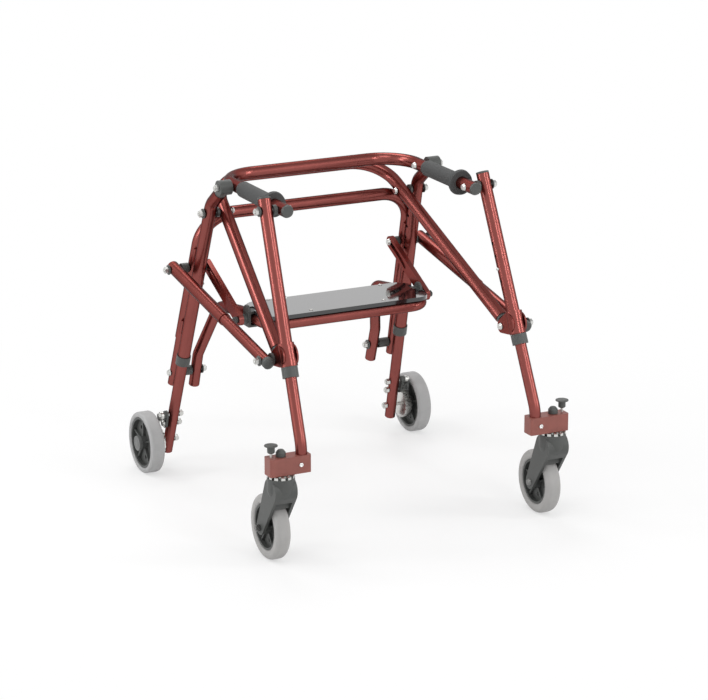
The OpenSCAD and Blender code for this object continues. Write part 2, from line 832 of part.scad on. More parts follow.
module ratchet(s) {
    color("Silver") side(s) translate([0, rear_axle_y, axle_z]) difference() {
        side_plate(ratchet_x0, hub_in)
            polygon([for (i = [0 : ratchet_teeth - 1], j = [0, 1])
                let (a = (i + j * 0.85) * 360 / ratchet_teeth, r = j == 0 ? ratchet_r - 3.5 : ratchet_r)
                [r * cos(a), r * sin(a)]]);
        xcyl([0, 0, 0], 200, 320, hub_bore);
    }
}

module rear_tyre(s) { color("DarkGray") side(s) tyre(rear_wheel_x, rear_axle_y, rear_rim_d); }
module rear_hub(s) { color("DimGray") side(s) hub(rear_wheel_x, rear_axle_y, tyre_w - 2 * run_clear, rear_rim_d); }

// links
module link_rear_tubes() {
    color("FireBrick") both() difference() {
        union() {
            along(link_a - link_end * link_u, link_a + link_rear_len * link_u, tube_d);
            along(link_a - link_end * link_u, link_a - (link_end + link_cap) * link_u, tube_d - 0.4, tube_d - 6);
        }
        along(link_a + 16 * link_u, link_a + (link_rear_len + 1) * link_u, tube_d - 2 * tube_wall);
        xcyl(link_a, 200, 320, bolt_hole);
        link_button_cut(button_hole);
    }
}

link_button_s = 225;
// closed, chamfered end beyond a link's bolt
link_end = 11;
link_cap = 3;
link_n = [0, -link_u.z, link_u.y];
module link_button_cut(d, place = 0) {
    p = link_a + (link_button_s + place * hole_pitch) * link_u;
    along(p, p - 20 * link_n * sign(link_n.z), d);
}

module link_front_tubes() {
    p = link_a + (link_rear_len - link_lap) * link_u;
    color("FireBrick") both() difference() {
        union() {
            along(p, link_b + link_end * link_u, inner_d);
            along(link_b + link_end * link_u, link_b + (link_end + link_cap) * link_u, inner_d - 0.4, inner_d - 6);
        }
        along(p - link_u, link_b - 20 * link_u, inner_d - 2 * tube_wall);
        xcyl(link_b, 200, 320, slack_hole);
        for (i = [0 : 2])
            link_button_cut(button_hole + 0.5, i);
    }
}

// spring buttons: p on the tube axis, n the outward direction; the foot clears a leaning inner tube
button_lift = 0.35;
module button(p, n) {
    along(p + (tube_r - tube_wall + button_lift) * n, p + (tube_r + 1) * n, button_d);
    along(p + (tube_r + 0.6) * n, p + (tube_r + 3) * n, button_d - 0.6, button_d - 3);
}
module link_button(s) {
    color("Silver") side(s) button(link_a + link_button_s * link_u, -link_n * sign(link_n.z));
}
module front_button(s) { color("Silver") side(s) button(front_button, [-1, 0, 0]); }
module rear_button(s) { color("Silver") side(s) button(rear_button, [-1, 0, 0]); }

// seat
module seat_frame() {
    m = [-1, 1, 1];
    right = [seat_leg_low, seat_knee, seat_heel, seat_mid, seat_front];
    left = [for (i = [4 : -1 : 0]) [-right[i].x, right[i].y, right[i].z]];
    color("FireBrick") difference() {
        bent_tube(concat(right, left), [40, 40, 200, 38, 38, 200, 40, 40], inner_d);
        xcyl(b6, -300, 300, bolt_hole);
        xcyl(b8, -300, 300, bolt_hole);
    }
}

panel_x = 182;
panel_y0 = -33;
panel_y1 = 89;
panel_r = 30;
clip_w = 26;
clip_t = 5;
clip_reach = 16;
clip_floor = 4;
// the ear stands above the panel, beside its edge
ear_rise = 8;
ear_chamfer = 8;
clip_x = seat_rail_x + inner_r + gap;
module seat_panel() {
    color("Black") translate([0, 0, panel_z]) linear_extrude(height = panel_t) difference() {
        union() {
            translate([-panel_x, panel_y0 + panel_r]) square([2 * panel_x, panel_y1 - panel_y0 - 2 * panel_r]);
            translate([-panel_x + panel_r, panel_y0]) square([2 * panel_x - 2 * panel_r, panel_y1 - panel_y0]);
            for (x = [-1, 1], y = [panel_y0 + panel_r, panel_y1 - panel_r])
                translate([x * (panel_x - panel_r), y]) circle(r = panel_r);
        }
        for (s = [0, 1])
            mirror([s, 0]) translate([clip_x - clip_reach - gap, seat_strut_y - clip_w / 2 - gap])
                square([panel_x, clip_w + 2 * gap]);
    }
}

module seat_brackets() {
    top = panel_z + gap;
    low = seat_rail_z - inner_r - gap - clip_floor;
    ear = panel_z + panel_t + ear_rise;
    y0 = seat_strut_y - clip_w / 2;
    y1 = seat_strut_y + clip_w / 2;
    color("DimGray") both() {
        difference() {
            union() {
                side_plate(clip_x, clip_x + clip_t)
                    polygon([[y0, low], [y1, low], [y1, ear - ear_chamfer], [y1 - ear_chamfer, ear],
                        [y0 + ear_chamfer, ear], [y0, ear - ear_chamfer]]);
                translate([clip_x - clip_reach, y0, top]) cube([clip_reach + 1, clip_w, clip_t]);
                translate([clip_x - clip_reach, y0, low]) cube([clip_reach + 1, clip_w, clip_floor]);
                xcyl(b8, clip_x + 1, strut_in - gap, washer_d);
            }
            xcyl(b8, 100, 300, bolt_hole);
        }
        bolt(b8, seat_rail_x - inner_r - gap, strut_out + gap);
        nut(b8, strut_out + gap);
    }
}

// the slot follows the frame bolt's path while the seat flips up
function turn2(v, a) = [v.x * cos(a) - v.y * sin(a), v.x * sin(a) + v.y * cos(a)];
function slot_at(a) =
    let (p6 = [b6.y, b6.z], p7 = [b4.y, b4.z], p8 = [b8.y, b8.z])
    p8 + turn2(p7 - p6 - turn2(p8 - p6, -a), strut_ratio * a);
slot_steps = 8;
module seat_struts() {
    p7 = [b4.y, b4.z];
    p8 = [b8.y, b8.z];
    color("FireBrick") both() difference() {
        side_plate(strut_in, strut_out) capsule(p8, strut_w / 2, p7, strut_w / 2);
        side_plate(strut_in - 1, strut_out + 1)
            for (i = [0 : slot_steps - 1])
                capsule(slot_at(i * seat_flip / slot_steps), bolt_d / 2 + 0.5,
                    slot_at((i + 1) * seat_flip / slot_steps), bolt_d / 2 + 0.5);
        xcyl(b8, 100, 300, bolt_hole);
    }
}

rear_leg(-1);  // rear_leg_left
rear_leg(1);  // rear_leg_right
seat_hoop();
hoop_extensions();
leg_knuckles();
frame_spacers();
frame_bolts();
top_rail();
hand_grips();
rail_end_plugs();
front_pivot_bolts();
brace_hoop();
brace_end_fittings();
front_leg(-1);  // front_leg_left
front_leg(1);  // front_leg_right
front_brackets();
front_leg_trim();
bracket_bolts();
front_leg_lower(-1);  // front_leg_lower_left
front_leg_lower(1);  // front_leg_lower_right
caster_block(-1);  // caster_block_left
caster_block(1);  // caster_block_right
caster_stem(-1);  // caster_stem_left
caster_stem(1);  // caster_stem_right
lock_plunger(-1);  // lock_plunger_left
lock_plunger(1);  // lock_plunger_right
caster_fork(-1);  // caster_fork_left
caster_fork(1);  // caster_fork_right
caster_steel(-1);  // caster_steel_left
caster_steel(1);  // caster_steel_right
front_tyre(-1);  // front_tyre_left
front_tyre(1);  // front_tyre_right
front_hub(-1);  // front_hub_left
front_hub(1);  // front_hub_right
rear_leg_lower(-1);  // rear_leg_lower_left
rear_leg_lower(1);  // rear_leg_lower_right
rear_axle(-1);  // rear_axle_left
rear_axle(1);  // rear_axle_right
pawl_bracket(-1);  // pawl_bracket_left
pawl_bracket(1);  // pawl_bracket_right
pawl(-1);  // pawl_left
pawl(1);  // pawl_right
rear_tyre(-1);  // rear_tyre_left
rear_tyre(1);  // rear_tyre_right
rear_hub(-1);  // rear_hub_left
rear_hub(1);  // rear_hub_right
ratchet(-1);  // ratchet_left
ratchet(1);  // ratchet_right
link_rear_tubes();
link_front_tubes();
link_button(-1);  // link_button_left
link_button(1);  // link_button_right
front_button(-1);  // front_button_left
front_button(1);  // front_button_right
rear_button(-1);  // rear_button_left
rear_button(1);  // rear_button_right
seat_frame();
seat_panel();
seat_brackets();
seat_struts();
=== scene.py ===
"""Looks for the posterior walker: finishes, small trim, studio light and camera."""

import math

import bpy
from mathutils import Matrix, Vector


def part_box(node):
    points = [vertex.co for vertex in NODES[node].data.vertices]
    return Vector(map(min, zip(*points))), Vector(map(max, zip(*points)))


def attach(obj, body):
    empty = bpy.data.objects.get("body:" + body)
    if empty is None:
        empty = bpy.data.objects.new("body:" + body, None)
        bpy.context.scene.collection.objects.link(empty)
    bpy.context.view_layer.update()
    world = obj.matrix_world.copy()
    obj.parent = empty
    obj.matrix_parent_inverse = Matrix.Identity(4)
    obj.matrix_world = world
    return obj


bl_info = {
    "name": "Posterior Walker Looks",
    "version": (1, 0, 0),
    "blender": (4, 5, 0),
    "location": "View3D > Sidebar > Walker",
    "description": "Dresses the packed walker frame with its finishes, trim and studio",
    "category": "Object",
}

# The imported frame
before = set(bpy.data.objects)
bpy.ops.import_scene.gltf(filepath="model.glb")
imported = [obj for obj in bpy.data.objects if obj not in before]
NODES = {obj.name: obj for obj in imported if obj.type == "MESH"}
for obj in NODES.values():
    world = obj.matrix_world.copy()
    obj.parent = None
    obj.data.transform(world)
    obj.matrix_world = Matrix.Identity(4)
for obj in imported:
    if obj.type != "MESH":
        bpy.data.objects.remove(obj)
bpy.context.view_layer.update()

# The two sides, with the sign of x on each
HANDS = {"left": -1.0, "right": 1.0}

# CAD nodes that share a finish
RED_TUBES = [
    "rear_leg_left", "rear_leg_right", "seat_hoop", "hoop_extensions", "top_rail", "brace_hoop",
    "front_leg_left", "front_leg_right", "front_brackets", "link_rear_tubes", "seat_frame",
    "seat_struts",
]
SLIDING_TUBES = [
    "link_front_tubes", "front_leg_lower_left", "front_leg_lower_right", "rear_leg_lower_left",
    "rear_leg_lower_right",
]
DARK_PLASTIC = [
    "leg_knuckles", "frame_spacers", "rail_end_plugs", "brace_end_fittings", "front_leg_trim",
    "seat_brackets",
]
STEEL = ["frame_bolts", "front_pivot_bolts", "bracket_bolts"]

# Scale and amount of the colour's drift, by kind of surface
TUBE_MOTTLE = (18.0, 0.15)
MOULDED_MOTTLE = (45.0, 0.25)
PLATED_MOTTLE = (160.0, 0.18)

# Scale, strength and depth of the grain, by kind of surface
TUBE_GRAIN = (110.0, 0.006, 0.0001)
MOULDED_GRAIN = (1800.0, 0.3, 0.0002)
PLATED_GRAIN = (900.0, 0.12, 0.0001)
TYRE_GRAIN = (700.0, 0.2, 0.0002)

# Lowest and highest roughness of plated steel
PLATED_ROUGH = (0.22, 0.38)

# Scale and amount of the flake in the candy red, and the share of worn red in a slide mark
FLAKE_SCALE = 1800.0
FLAKE_AMOUNT = 0.06
SLIDE_MARK_SHARE = 0.3

# Stretch of the slide marks' noise in x, y and z: fine across the legs, long down them
SLIDE_MARK_STRETCH = (900.0, 900.0, 14.0)

# Height above a caster block up to which its lock plunger is bare steel
PIN_SHOWS = 0.0085

# Sockets of a Mix node that mixes colours
MIX_FACTOR = 0
MIX_FIRST = 6
MIX_SECOND = 7
MIX_RESULT = 2

# Places of the seat screws on the panel, x and y
SEAT_SCREWS = ((-0.125, 0.085), (0.125, 0.085), (-0.080, -0.018), (0.080, -0.018))

# Distance of a block screw from the middle plane
BLOCK_SCREW_X = 0.258

# Front pivot of the right link, and the link's direction towards the front
LINK_END = (0.278, -0.2279, 0.37513)
LINK_RUN = (0.0, -0.98468, -0.174373)

# Shares of a screw head: width of the rim round its socket, depth of the socket, rounding
SCREW_RIM = 0.26
SCREW_SOCKET = 0.6
SCREW_ROUND = 0.3

# Shares of a moulded cup: width and rise of its second step against the first, rounding
CUP_STEP_WIDTH = 0.6
CUP_STEP_RISE = 0.4
CUP_ROUND = 0.025

# Shares of a hub cap: depth of its hollow, width of its rim, sink of its face
HUB_CAP_HOLLOW = 0.93
HUB_CAP_RIM = 0.16
HUB_CAP_SINK = 0.1

# Wall of a link cap, and shares for its hollow, its rim and the rise of its crown
LINK_CAP_WALL = 0.0004
LINK_CAP_HOLLOW = 0.72
LINK_CAP_RIM = 0.12
LINK_CAP_RISE = 0.2

# A face looks up or down when its normal's z is past this
FACING = 0.9

# Faces this close to a height lie at it
NEAR = 0.0001

# Edges sharper than the first angle are rounded, and those blunter than the second shade smooth
ROUND_FROM = math.radians(40.0)
SMOOTH_UP_TO = math.radians(35.0)

# Faces across a rounded edge, and sides of a screw head and of a moulded cup
ROUND_STEPS = 3
SCREW_SIDES = 24
CUP_SIDES = 48

# Turn that lays an upright screw or cap on its side
QUARTER_TURN = math.radians(90.0)

# Softboxes: name, place, width and height in metres, power in watts
SOFTBOXES = (
    ("key_light", (0.45, -2.95, 2.05), (0.32, 1.6), 17.0),
    ("front_light", (-0.8, -1.4, 3.3), (1.6, 1.6), 24.0),
    ("fill_light", (2.4, -1.9, 1.7), (0.35, 2.0), 22.0),
    ("top_light", (0.4, 1.7, 3.0), (1.4, 1.4), 26.0),
    ("side_light", (-2.9, 0.45, 1.35), (0.60, 1.7), 22.0),
    ("brace_light", (-1.87, 1.3, 2.57), (1.1, 0.9), 17.0),
)
SOFTBOX_AIM = (0.0, 0.0, 0.35)

# Strength of the white surroundings as light on the walker
WORLD_LIGHT = 0.55

# Camera sensor in millimetres, and how far the camera sees in metres
SENSOR_WIDTH = 36.0
CAMERA_REACH = 200.0


def sided(*names):
    """The node names with each side added."""
    return [f"{name}_{side}" for name in names for side in HANDS]


class WalkerFinish(bpy.types.PropertyGroup):
    """Colours that a user would change."""

    tube_red: bpy.props.FloatVectorProperty(
        name="Tube red", description="Candy red under the clear coat",
        subtype="COLOR", size=3, default=(0.25, 0.066, 0.057), min=0.0, max=1.0)
    worn_red: bpy.props.FloatVectorProperty(
        name="Worn red", description="Paler red of the slide marks",
        subtype="COLOR", size=3, default=(0.34, 0.12, 0.10), min=0.0, max=1.0)
    block_red: bpy.props.FloatVectorProperty(
        name="Block red", description="Satin red of the caster blocks",
        subtype="COLOR", size=3, default=(0.250, 0.080, 0.064), min=0.0, max=1.0)
    moulded_grey: bpy.props.FloatVectorProperty(
        name="Moulded grey", description="Dark grey of the moulded fittings",
        subtype="COLOR", size=3, default=(0.064, 0.067, 0.064), min=0.0, max=1.0)
    grip_grey: bpy.props.FloatVectorProperty(
        name="Grip grey", description="Dark grey of the hand grips' rubber",
        subtype="COLOR", size=3, default=(0.045, 0.046, 0.046), min=0.0, max=1.0)
    dull_steel: bpy.props.FloatVectorProperty(
        name="Dull steel", description="Dulled steel of the front axles",
        subtype="COLOR", size=3, default=(0.20, 0.20, 0.195), min=0.0, max=1.0)
    seat_black: bpy.props.FloatVectorProperty(
        name="Seat black", description="Glossy black of the seat panel",
        subtype="COLOR", size=3, default=(0.006, 0.006, 0.007), min=0.0, max=1.0)
    front_tyre: bpy.props.FloatVectorProperty(
        name="Front tyre", description="Warm grey of the front tyres",
        subtype="COLOR", size=3, default=(0.37, 0.363, 0.356), min=0.0, max=1.0)
    rear_tyre: bpy.props.FloatVectorProperty(
        name="Rear tyre", description="Grey of the rear tyres",
        subtype="COLOR", size=3, default=(0.37, 0.37, 0.37), min=0.0, max=1.0)
    zinc: bpy.props.FloatVectorProperty(
        name="Zinc", description="Plated steel of bolts, axles and seat screws",
        subtype="COLOR", size=3, default=(0.62, 0.62, 0.60), min=0.0, max=1.0)
    cap_grey: bpy.props.FloatVectorProperty(
        name="Cap grey", description="Mid grey of the rear hubs' dust caps",
        subtype="COLOR", size=3, default=(0.13, 0.133, 0.13), min=0.0, max=1.0)
    bright: bpy.props.FloatVectorProperty(
        name="Bright steel", description="Bright plated steel of the block screws",
        subtype="COLOR", size=3, default=(0.80, 0.80, 0.79), min=0.0, max=1.0)


class WalkerTrim(bpy.types.PropertyGroup):
    """Sizes of the small trim."""

    seat_screw_d: bpy.props.FloatProperty(
        name="Seat screw", description="Head diameter of a panel screw",
        unit="LENGTH", default=0.0075)
    seat_screw_h: bpy.props.FloatProperty(
        name="Seat screw height", description="Head height of a panel screw",
        unit="LENGTH", default=0.0016)
    block_screw_d: bpy.props.FloatProperty(
        name="Block screw", description="Head diameter of a caster block screw",
        unit="LENGTH", default=0.0085)
    block_screw_h: bpy.props.FloatProperty(
        name="Block screw height", description="Head height of a caster block screw",
        unit="LENGTH", default=0.0028)
    cap_d: bpy.props.FloatProperty(
        name="Hub cap", description="Diameter of a rear hub's dust cap",
        unit="LENGTH", default=0.031)
    cap_bore: bpy.props.FloatProperty(
        name="Hub cap bore", description="Room in the dust cap for the axle head",
        unit="LENGTH", default=0.018)
    cap_h: bpy.props.FloatProperty(
        name="Hub cap height", description="Height of the dust cap",
        unit="LENGTH", default=0.0078)
    link_cap_d: bpy.props.FloatProperty(
        name="Link cap", description="Diameter of a link's end cap",
        unit="LENGTH", default=0.0230)
    link_cap_h: bpy.props.FloatProperty(
        name="Link cap length", description="Length of a link's end cap",
        unit="LENGTH", default=0.0085)
    link_cap_back: bpy.props.FloatProperty(
        name="Link cap place", description="From the link's pivot to the cap's open end",
        unit="LENGTH", default=0.0088)
    sink: bpy.props.FloatProperty(
        name="Sink", description="How far screws and hub caps are let into what carries them",
        unit="LENGTH", default=0.0003)


class WalkerStudio(bpy.types.PropertyGroup):
    """Camera and floor."""

    camera_place: bpy.props.FloatVectorProperty(
        name="Camera place", description="Where the camera stands",
        subtype="TRANSLATION", unit="LENGTH", size=3, default=(-2.544, -5.128, 2.010))
    camera_target: bpy.props.FloatVectorProperty(
        name="Camera target", description="Point the camera looks at",
        subtype="TRANSLATION", unit="LENGTH", size=3, default=(0.026, 0.005, 0.2918))
    lens: bpy.props.FloatProperty(
        name="Lens", description="Focal length on a 36 mm sensor",
        unit="CAMERA", default=152.54, min=20.0, max=300.0)
    floor_size: bpy.props.FloatProperty(
        name="Floor size", description="Side of the pale floor",
        unit="LENGTH", default=60.0, min=2.0, max=100.0)


def add_node(tree, kind, place, **values):
    """Adds a shader node, with sockets or settings by name."""
    made = tree.nodes.new(kind)
    made.location = place
    for name, value in values.items():
        label = name.replace("_", " ").title()
        if label in made.inputs:
            made.inputs[label].default_value = value
        else:
            setattr(made, name, value)
    return made


def add_group(tree, group, place, **values):
    """Places a node group in a material, with its own values."""
    made = tree.nodes.new("ShaderNodeGroup")
    made.node_tree = bpy.data.node_groups[group]
    made.location = place
    for name, value in values.items():
        made.inputs[name.title()].default_value = value
    return made


def new_group(name, inputs, outputs):
    """An empty shader node group with its sockets and end nodes."""
    tree = bpy.data.node_groups.new(name, "ShaderNodeTree")
    for label, kind, value in inputs:
        socket = tree.interface.new_socket(name=label, in_out="INPUT", socket_type=kind)
        socket.default_value = value
    for label, kind in outputs:
        tree.interface.new_socket(name=label, in_out="OUTPUT", socket_type=kind)
    start = tree.nodes.new("NodeGroupInput")
    start.location = (-800, 0)
    end = tree.nodes.new("NodeGroupOutput")
    end.location = (600, 0)
    return tree, start, end


def add_noise(tree, start, detail, roughness):
    """Noise on object coordinates, at the group's scale."""
    coord = add_node(tree, "ShaderNodeTexCoord", (-800, -240))
    noise = add_node(
        tree, "ShaderNodeTexNoise", (-560, -200), detail=detail, roughness=roughness)
    tree.links.new(coord.outputs["Object"], noise.inputs["Vector"])
    tree.links.new(start.outputs["Scale"], noise.inputs["Scale"])
    return noise


def drift_colour(tree, start, end, value):
    """Brightens and darkens the group's colour by its amount, about the value's middle."""
    centre = add_node(tree, "ShaderNodeMath", (-160, -200), operation="SUBTRACT")
    tree.links.new(value, centre.inputs[0])
    centre.inputs[1].default_value = 0.5
    swing = add_node(tree, "ShaderNodeMath", (20, -120), operation="MULTIPLY_ADD")
    tree.links.new(centre.outputs[0], swing.inputs[0])
    tree.links.new(start.outputs["Amount"], swing.inputs[1])
    swing.inputs[2].default_value = 1.0
    scale = add_node(tree, "ShaderNodeVectorMath", (220, 60), operation="SCALE")
    tree.links.new(start.outputs["Color"], scale.inputs[0])
    tree.links.new(swing.outputs[0], scale.inputs["Scale"])
    tree.links.new(scale.outputs["Vector"], end.inputs["Color"])


def make_mottle_group():
    """Colour that drifts a little in patches, as paint and moulded plastic do."""
    tree, start, end = new_group(
        "walker_mottle",
        [("Color", "NodeSocketColor", (0.5, 0.5, 0.5, 1.0)),
         ("Scale", "NodeSocketFloat", 30.0),
         ("Amount", "NodeSocketFloat", 0.12)],
        [("Color", "NodeSocketColor"), ("Mask", "NodeSocketFloat")])
    noise = add_noise(tree, start, detail=6.0, roughness=0.6)
    spread = add_node(tree, "ShaderNodeMapRange", (-340, -200), from_min=0.3, from_max=0.7)
    tree.links.new(noise.outputs["Fac"], spread.inputs["Value"])
    drift_colour(tree, start, end, spread.outputs["Result"])
    tree.links.new(spread.outputs["Result"], end.inputs["Mask"])


def make_grain_group():
    """A fine bump for moulded, sprayed and rubber surfaces."""
    tree, start, end = new_group(
        "walker_grain",
        [("Scale", "NodeSocketFloat", 900.0),
         ("Strength", "NodeSocketFloat", 0.2),
         ("Depth", "NodeSocketFloat", 0.0002)],
        [("Normal", "NodeSocketVector")])
    noise = add_noise(tree, start, detail=3.0, roughness=0.55)
    bump = add_node(tree, "ShaderNodeBump", (200, 0))
    tree.links.new(noise.outputs["Fac"], bump.inputs["Height"])
    tree.links.new(start.outputs["Strength"], bump.inputs["Strength"])
    tree.links.new(start.outputs["Depth"], bump.inputs["Distance"])
    tree.links.new(bump.outputs["Normal"], end.inputs["Normal"])


def make_flake_group():
    """Fine metal flake under a clear coat: small cells that differ in brightness."""
    tree, start, end = new_group(
        "walker_flake",
        [("Color", "NodeSocketColor", (0.5, 0.5, 0.5, 1.0)),
         ("Scale", "NodeSocketFloat", 1800.0),
         ("Amount", "NodeSocketFloat", 0.2)],
        [("Color", "NodeSocketColor")])
    coord = add_node(tree, "ShaderNodeTexCoord", (-800, -240))
    cells = add_node(tree, "ShaderNodeTexVoronoi", (-560, -200))
    tree.links.new(coord.outputs["Object"], cells.inputs["Vector"])
    tree.links.new(start.outputs["Scale"], cells.inputs["Scale"])
    tone = add_node(tree, "ShaderNodeSeparateColor", (-340, -200))
    tree.links.new(cells.outputs["Color"], tone.inputs["Color"])
    drift_colour(tree, start, end, tone.outputs["Red"])


def make_slide_group():
    """Fine paler upright marks for a tube that slides in another."""
    tree, start, end = new_group(
        "walker_slide_marks",
        [("Color", "NodeSocketColor", (0.5, 0.5, 0.5, 1.0)),
         ("Worn", "NodeSocketColor", (0.6, 0.5, 0.5, 1.0)),
         ("Amount", "NodeSocketFloat", 0.35)],
        [("Color", "NodeSocketColor")])
    coord = add_node(tree, "ShaderNodeTexCoord", (-1000, -240))
    stretch = add_node(tree, "ShaderNodeMapping", (-800, -240), scale=SLIDE_MARK_STRETCH)
    tree.links.new(coord.outputs["Object"], stretch.inputs["Vector"])
    noise = add_node(tree, "ShaderNodeTexNoise", (-560, -200), detail=2.0, scale=1.0)
    tree.links.new(stretch.outputs["Vector"], noise.inputs["Vector"])
    lines = add_node(tree, "ShaderNodeMapRange", (-340, -200), from_min=0.62, from_max=0.74)
    tree.links.new(noise.outputs["Fac"], lines.inputs["Value"])
    share = add_node(tree, "ShaderNodeMath", (-120, -120), operation="MULTIPLY")
    tree.links.new(lines.outputs["Result"], share.inputs[0])
    tree.links.new(start.outputs["Amount"], share.inputs[1])
    blend = add_node(tree, "ShaderNodeMix", (100, 60), data_type="RGBA")
    tree.links.new(share.outputs[0], blend.inputs[MIX_FACTOR])
    tree.links.new(start.outputs["Color"], blend.inputs[MIX_FIRST])
    tree.links.new(start.outputs["Worn"], blend.inputs[MIX_SECOND])
    tree.links.new(blend.outputs[MIX_RESULT], end.inputs["Color"])


def finish_of(name, colour, mottle, grain, rough, **values):
    """A Principled finish with drifting colour, varied roughness and a grain."""
    made = bpy.data.materials.new(name)
    made.use_nodes = True
    tree = made.node_tree
    shader = tree.nodes["Principled BSDF"]
    for label, value in values.items():
        shader.inputs[label.replace("_", " ")].default_value = value
    patch = add_group(
        tree, "walker_mottle", (-600, 200),
        color=(*colour, 1.0), scale=mottle[0], amount=mottle[1])
    tree.links.new(patch.outputs["Color"], shader.inputs["Base Color"])
    spread = add_node(
        tree, "ShaderNodeMapRange", (-300, 0), to_min=rough[0], to_max=rough[1])
    tree.links.new(patch.outputs["Mask"], spread.inputs["Value"])
    tree.links.new(spread.outputs["Result"], shader.inputs["Roughness"])
    skin = add_group(
        tree, "walker_grain", (-600, -300),
        scale=grain[0], strength=grain[1], depth=grain[2])
    tree.links.new(skin.outputs["Normal"], shader.inputs["Normal"])
    return made


def add_layer(made, group, place, **values):
    """Puts a node group between a finish's colour and its shader."""
    tree = made.node_tree
    shader = tree.nodes["Principled BSDF"]
    source = shader.inputs["Base Color"].links[0].from_socket
    layer = add_group(tree, group, place, **values)
    tree.links.new(source, layer.inputs["Color"])
    tree.links.new(layer.outputs["Color"], shader.inputs["Base Color"])


def change_below(made, colour, metal, height):
    """Changes a finish below a height, as on a steel pin set in a moulded knob."""
    tree = made.node_tree
    shader = tree.nodes["Principled BSDF"]
    source = shader.inputs["Base Color"].links[0].from_socket
    coord = add_node(tree, "ShaderNodeTexCoord", (-900, 500))
    axes = add_node(tree, "ShaderNodeSeparateXYZ", (-700, 500))
    tree.links.new(coord.outputs["Object"], axes.inputs["Vector"])
    below = add_node(tree, "ShaderNodeMath", (-500, 500), operation="LESS_THAN")
    tree.links.new(axes.outputs["Z"], below.inputs[0])
    below.inputs[1].default_value = height
    blend = add_node(tree, "ShaderNodeMix", (-200, 400), data_type="RGBA")
    tree.links.new(below.outputs[0], blend.inputs[MIX_FACTOR])
    tree.links.new(source, blend.inputs[MIX_FIRST])
    blend.inputs[MIX_SECOND].default_value = (*colour, 1.0)
    tree.links.new(blend.outputs[MIX_RESULT], shader.inputs["Base Color"])
    if metal:
        tree.links.new(below.outputs[0], shader.inputs["Metallic"])


def dress(names, material):
    """Puts one finish on the named CAD nodes."""
    for name in names:
        piece = NODES[name]
        piece.data.materials.clear()
        piece.data.materials.append(material)


def dress_tubes(look):
    """Candy red on the tubes, with slide marks on those that telescope."""
    candy = dict(
        mottle=TUBE_MOTTLE, grain=TUBE_GRAIN, Metallic=0.95,
        Specular_Tint=(0.10, 0.07, 0.06, 1.0), Coat_Weight=0.2, Coat_Roughness=0.10)
    red = finish_of("candy_red_tube", look.tube_red, rough=(0.26, 0.32), **candy)
    sliding = finish_of("candy_red_sliding_tube", look.tube_red, rough=(0.28, 0.35), **candy)
    for made in (red, sliding):
        add_layer(made, "walker_flake", (-250, 320), scale=FLAKE_SCALE, amount=FLAKE_AMOUNT)
    add_layer(
        sliding, "walker_slide_marks", (-120, 520),
        worn=(*look.worn_red, 1.0), amount=SLIDE_MARK_SHARE)
    dress(RED_TUBES, red)
    dress(SLIDING_TUBES, sliding)


def dress_mouldings(look):
    """Satin blocks, dark plastic, grips and seat, and the grey that the hub caps take later."""
    block = finish_of(
        "satin_red_block", look.block_red,
        mottle=(60.0, 0.2), grain=(1400.0, 0.25, 0.0002), rough=(0.38, 0.52), Metallic=0.15)
    plastic = finish_of(
        "moulded_dark_grey", look.moulded_grey,
        mottle=MOULDED_MOTTLE, grain=MOULDED_GRAIN, rough=(0.42, 0.58))
    grip = finish_of(
        "grip_rubber", look.grip_grey,
        mottle=(80.0, 0.3), grain=(1100.0, 0.5, 0.0004), rough=(0.6, 0.78))
    seat = finish_of(
        "gloss_black_seat", look.seat_black,
        mottle=(12.0, 0.4), grain=(350.0, 0.02, 0.0001), rough=(0.05, 0.12),
        Specular_IOR_Level=0.55, Coat_Weight=1.0, Coat_Roughness=0.03)
    pin = finish_of(
        "plunger_plastic_and_pin", look.moulded_grey,
        mottle=MOULDED_MOTTLE, grain=MOULDED_GRAIN, rough=(0.38, 0.5))
    pin_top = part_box("caster_block_left")[1].z + PIN_SHOWS
    change_below(pin, look.zinc, metal=True, height=pin_top)
    finish_of(
        "cap_grey", look.cap_grey,
        mottle=(60.0, 0.2), grain=(1500.0, 0.25, 0.0002), rough=(0.35, 0.5))
    dress(sided("caster_block"), block)
    dress(DARK_PLASTIC, plastic)
    dress(sided("caster_stem", "caster_fork", "front_hub", "rear_hub", "pawl_bracket"), plastic)
    dress(sided("lock_plunger"), pin)
    dress(["hand_grips"], grip)
    dress(["seat_panel"], seat)


def dress_steel(look):
    """Plated steel on small metal parts, and the bright steel that the block screws take later."""
    zinc = finish_of(
        "plated_zinc", look.zinc,
        mottle=PLATED_MOTTLE, grain=PLATED_GRAIN, rough=PLATED_ROUGH, Metallic=1.0)
    swivel = finish_of(
        "swivel_and_axle_steel", look.zinc,
        mottle=PLATED_MOTTLE, grain=PLATED_GRAIN, rough=PLATED_ROUGH, Metallic=1.0)
    tyre_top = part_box("front_tyre_left")[1].z
    change_below(swivel, look.dull_steel, metal=False, height=tyre_top)
    finish_of(
        "bright_steel", look.bright,
        mottle=(220.0, 0.1), grain=(900.0, 0.08, 0.0001), rough=(0.14, 0.24), Metallic=1.0)
    dress(STEEL, zinc)
    dress(sided("caster_steel"), swivel)
    dress(
        sided("rear_axle", "pawl", "ratchet", "link_button", "front_button", "rear_button"),
        zinc)


def dress_tyres(look):
    """Two greys of tyre rubber."""
    front = finish_of(
        "front_tyre_rubber", look.front_tyre,
        mottle=(40.0, 0.1), grain=TYRE_GRAIN, rough=(0.55, 0.7))
    rear = finish_of(
        "rear_tyre_rubber", look.rear_tyre,
        mottle=(40.0, 0.14), grain=TYRE_GRAIN, rough=(0.5, 0.66))
    dress(sided("front_tyre"), front)
    dress(sided("rear_tyre"), rear)


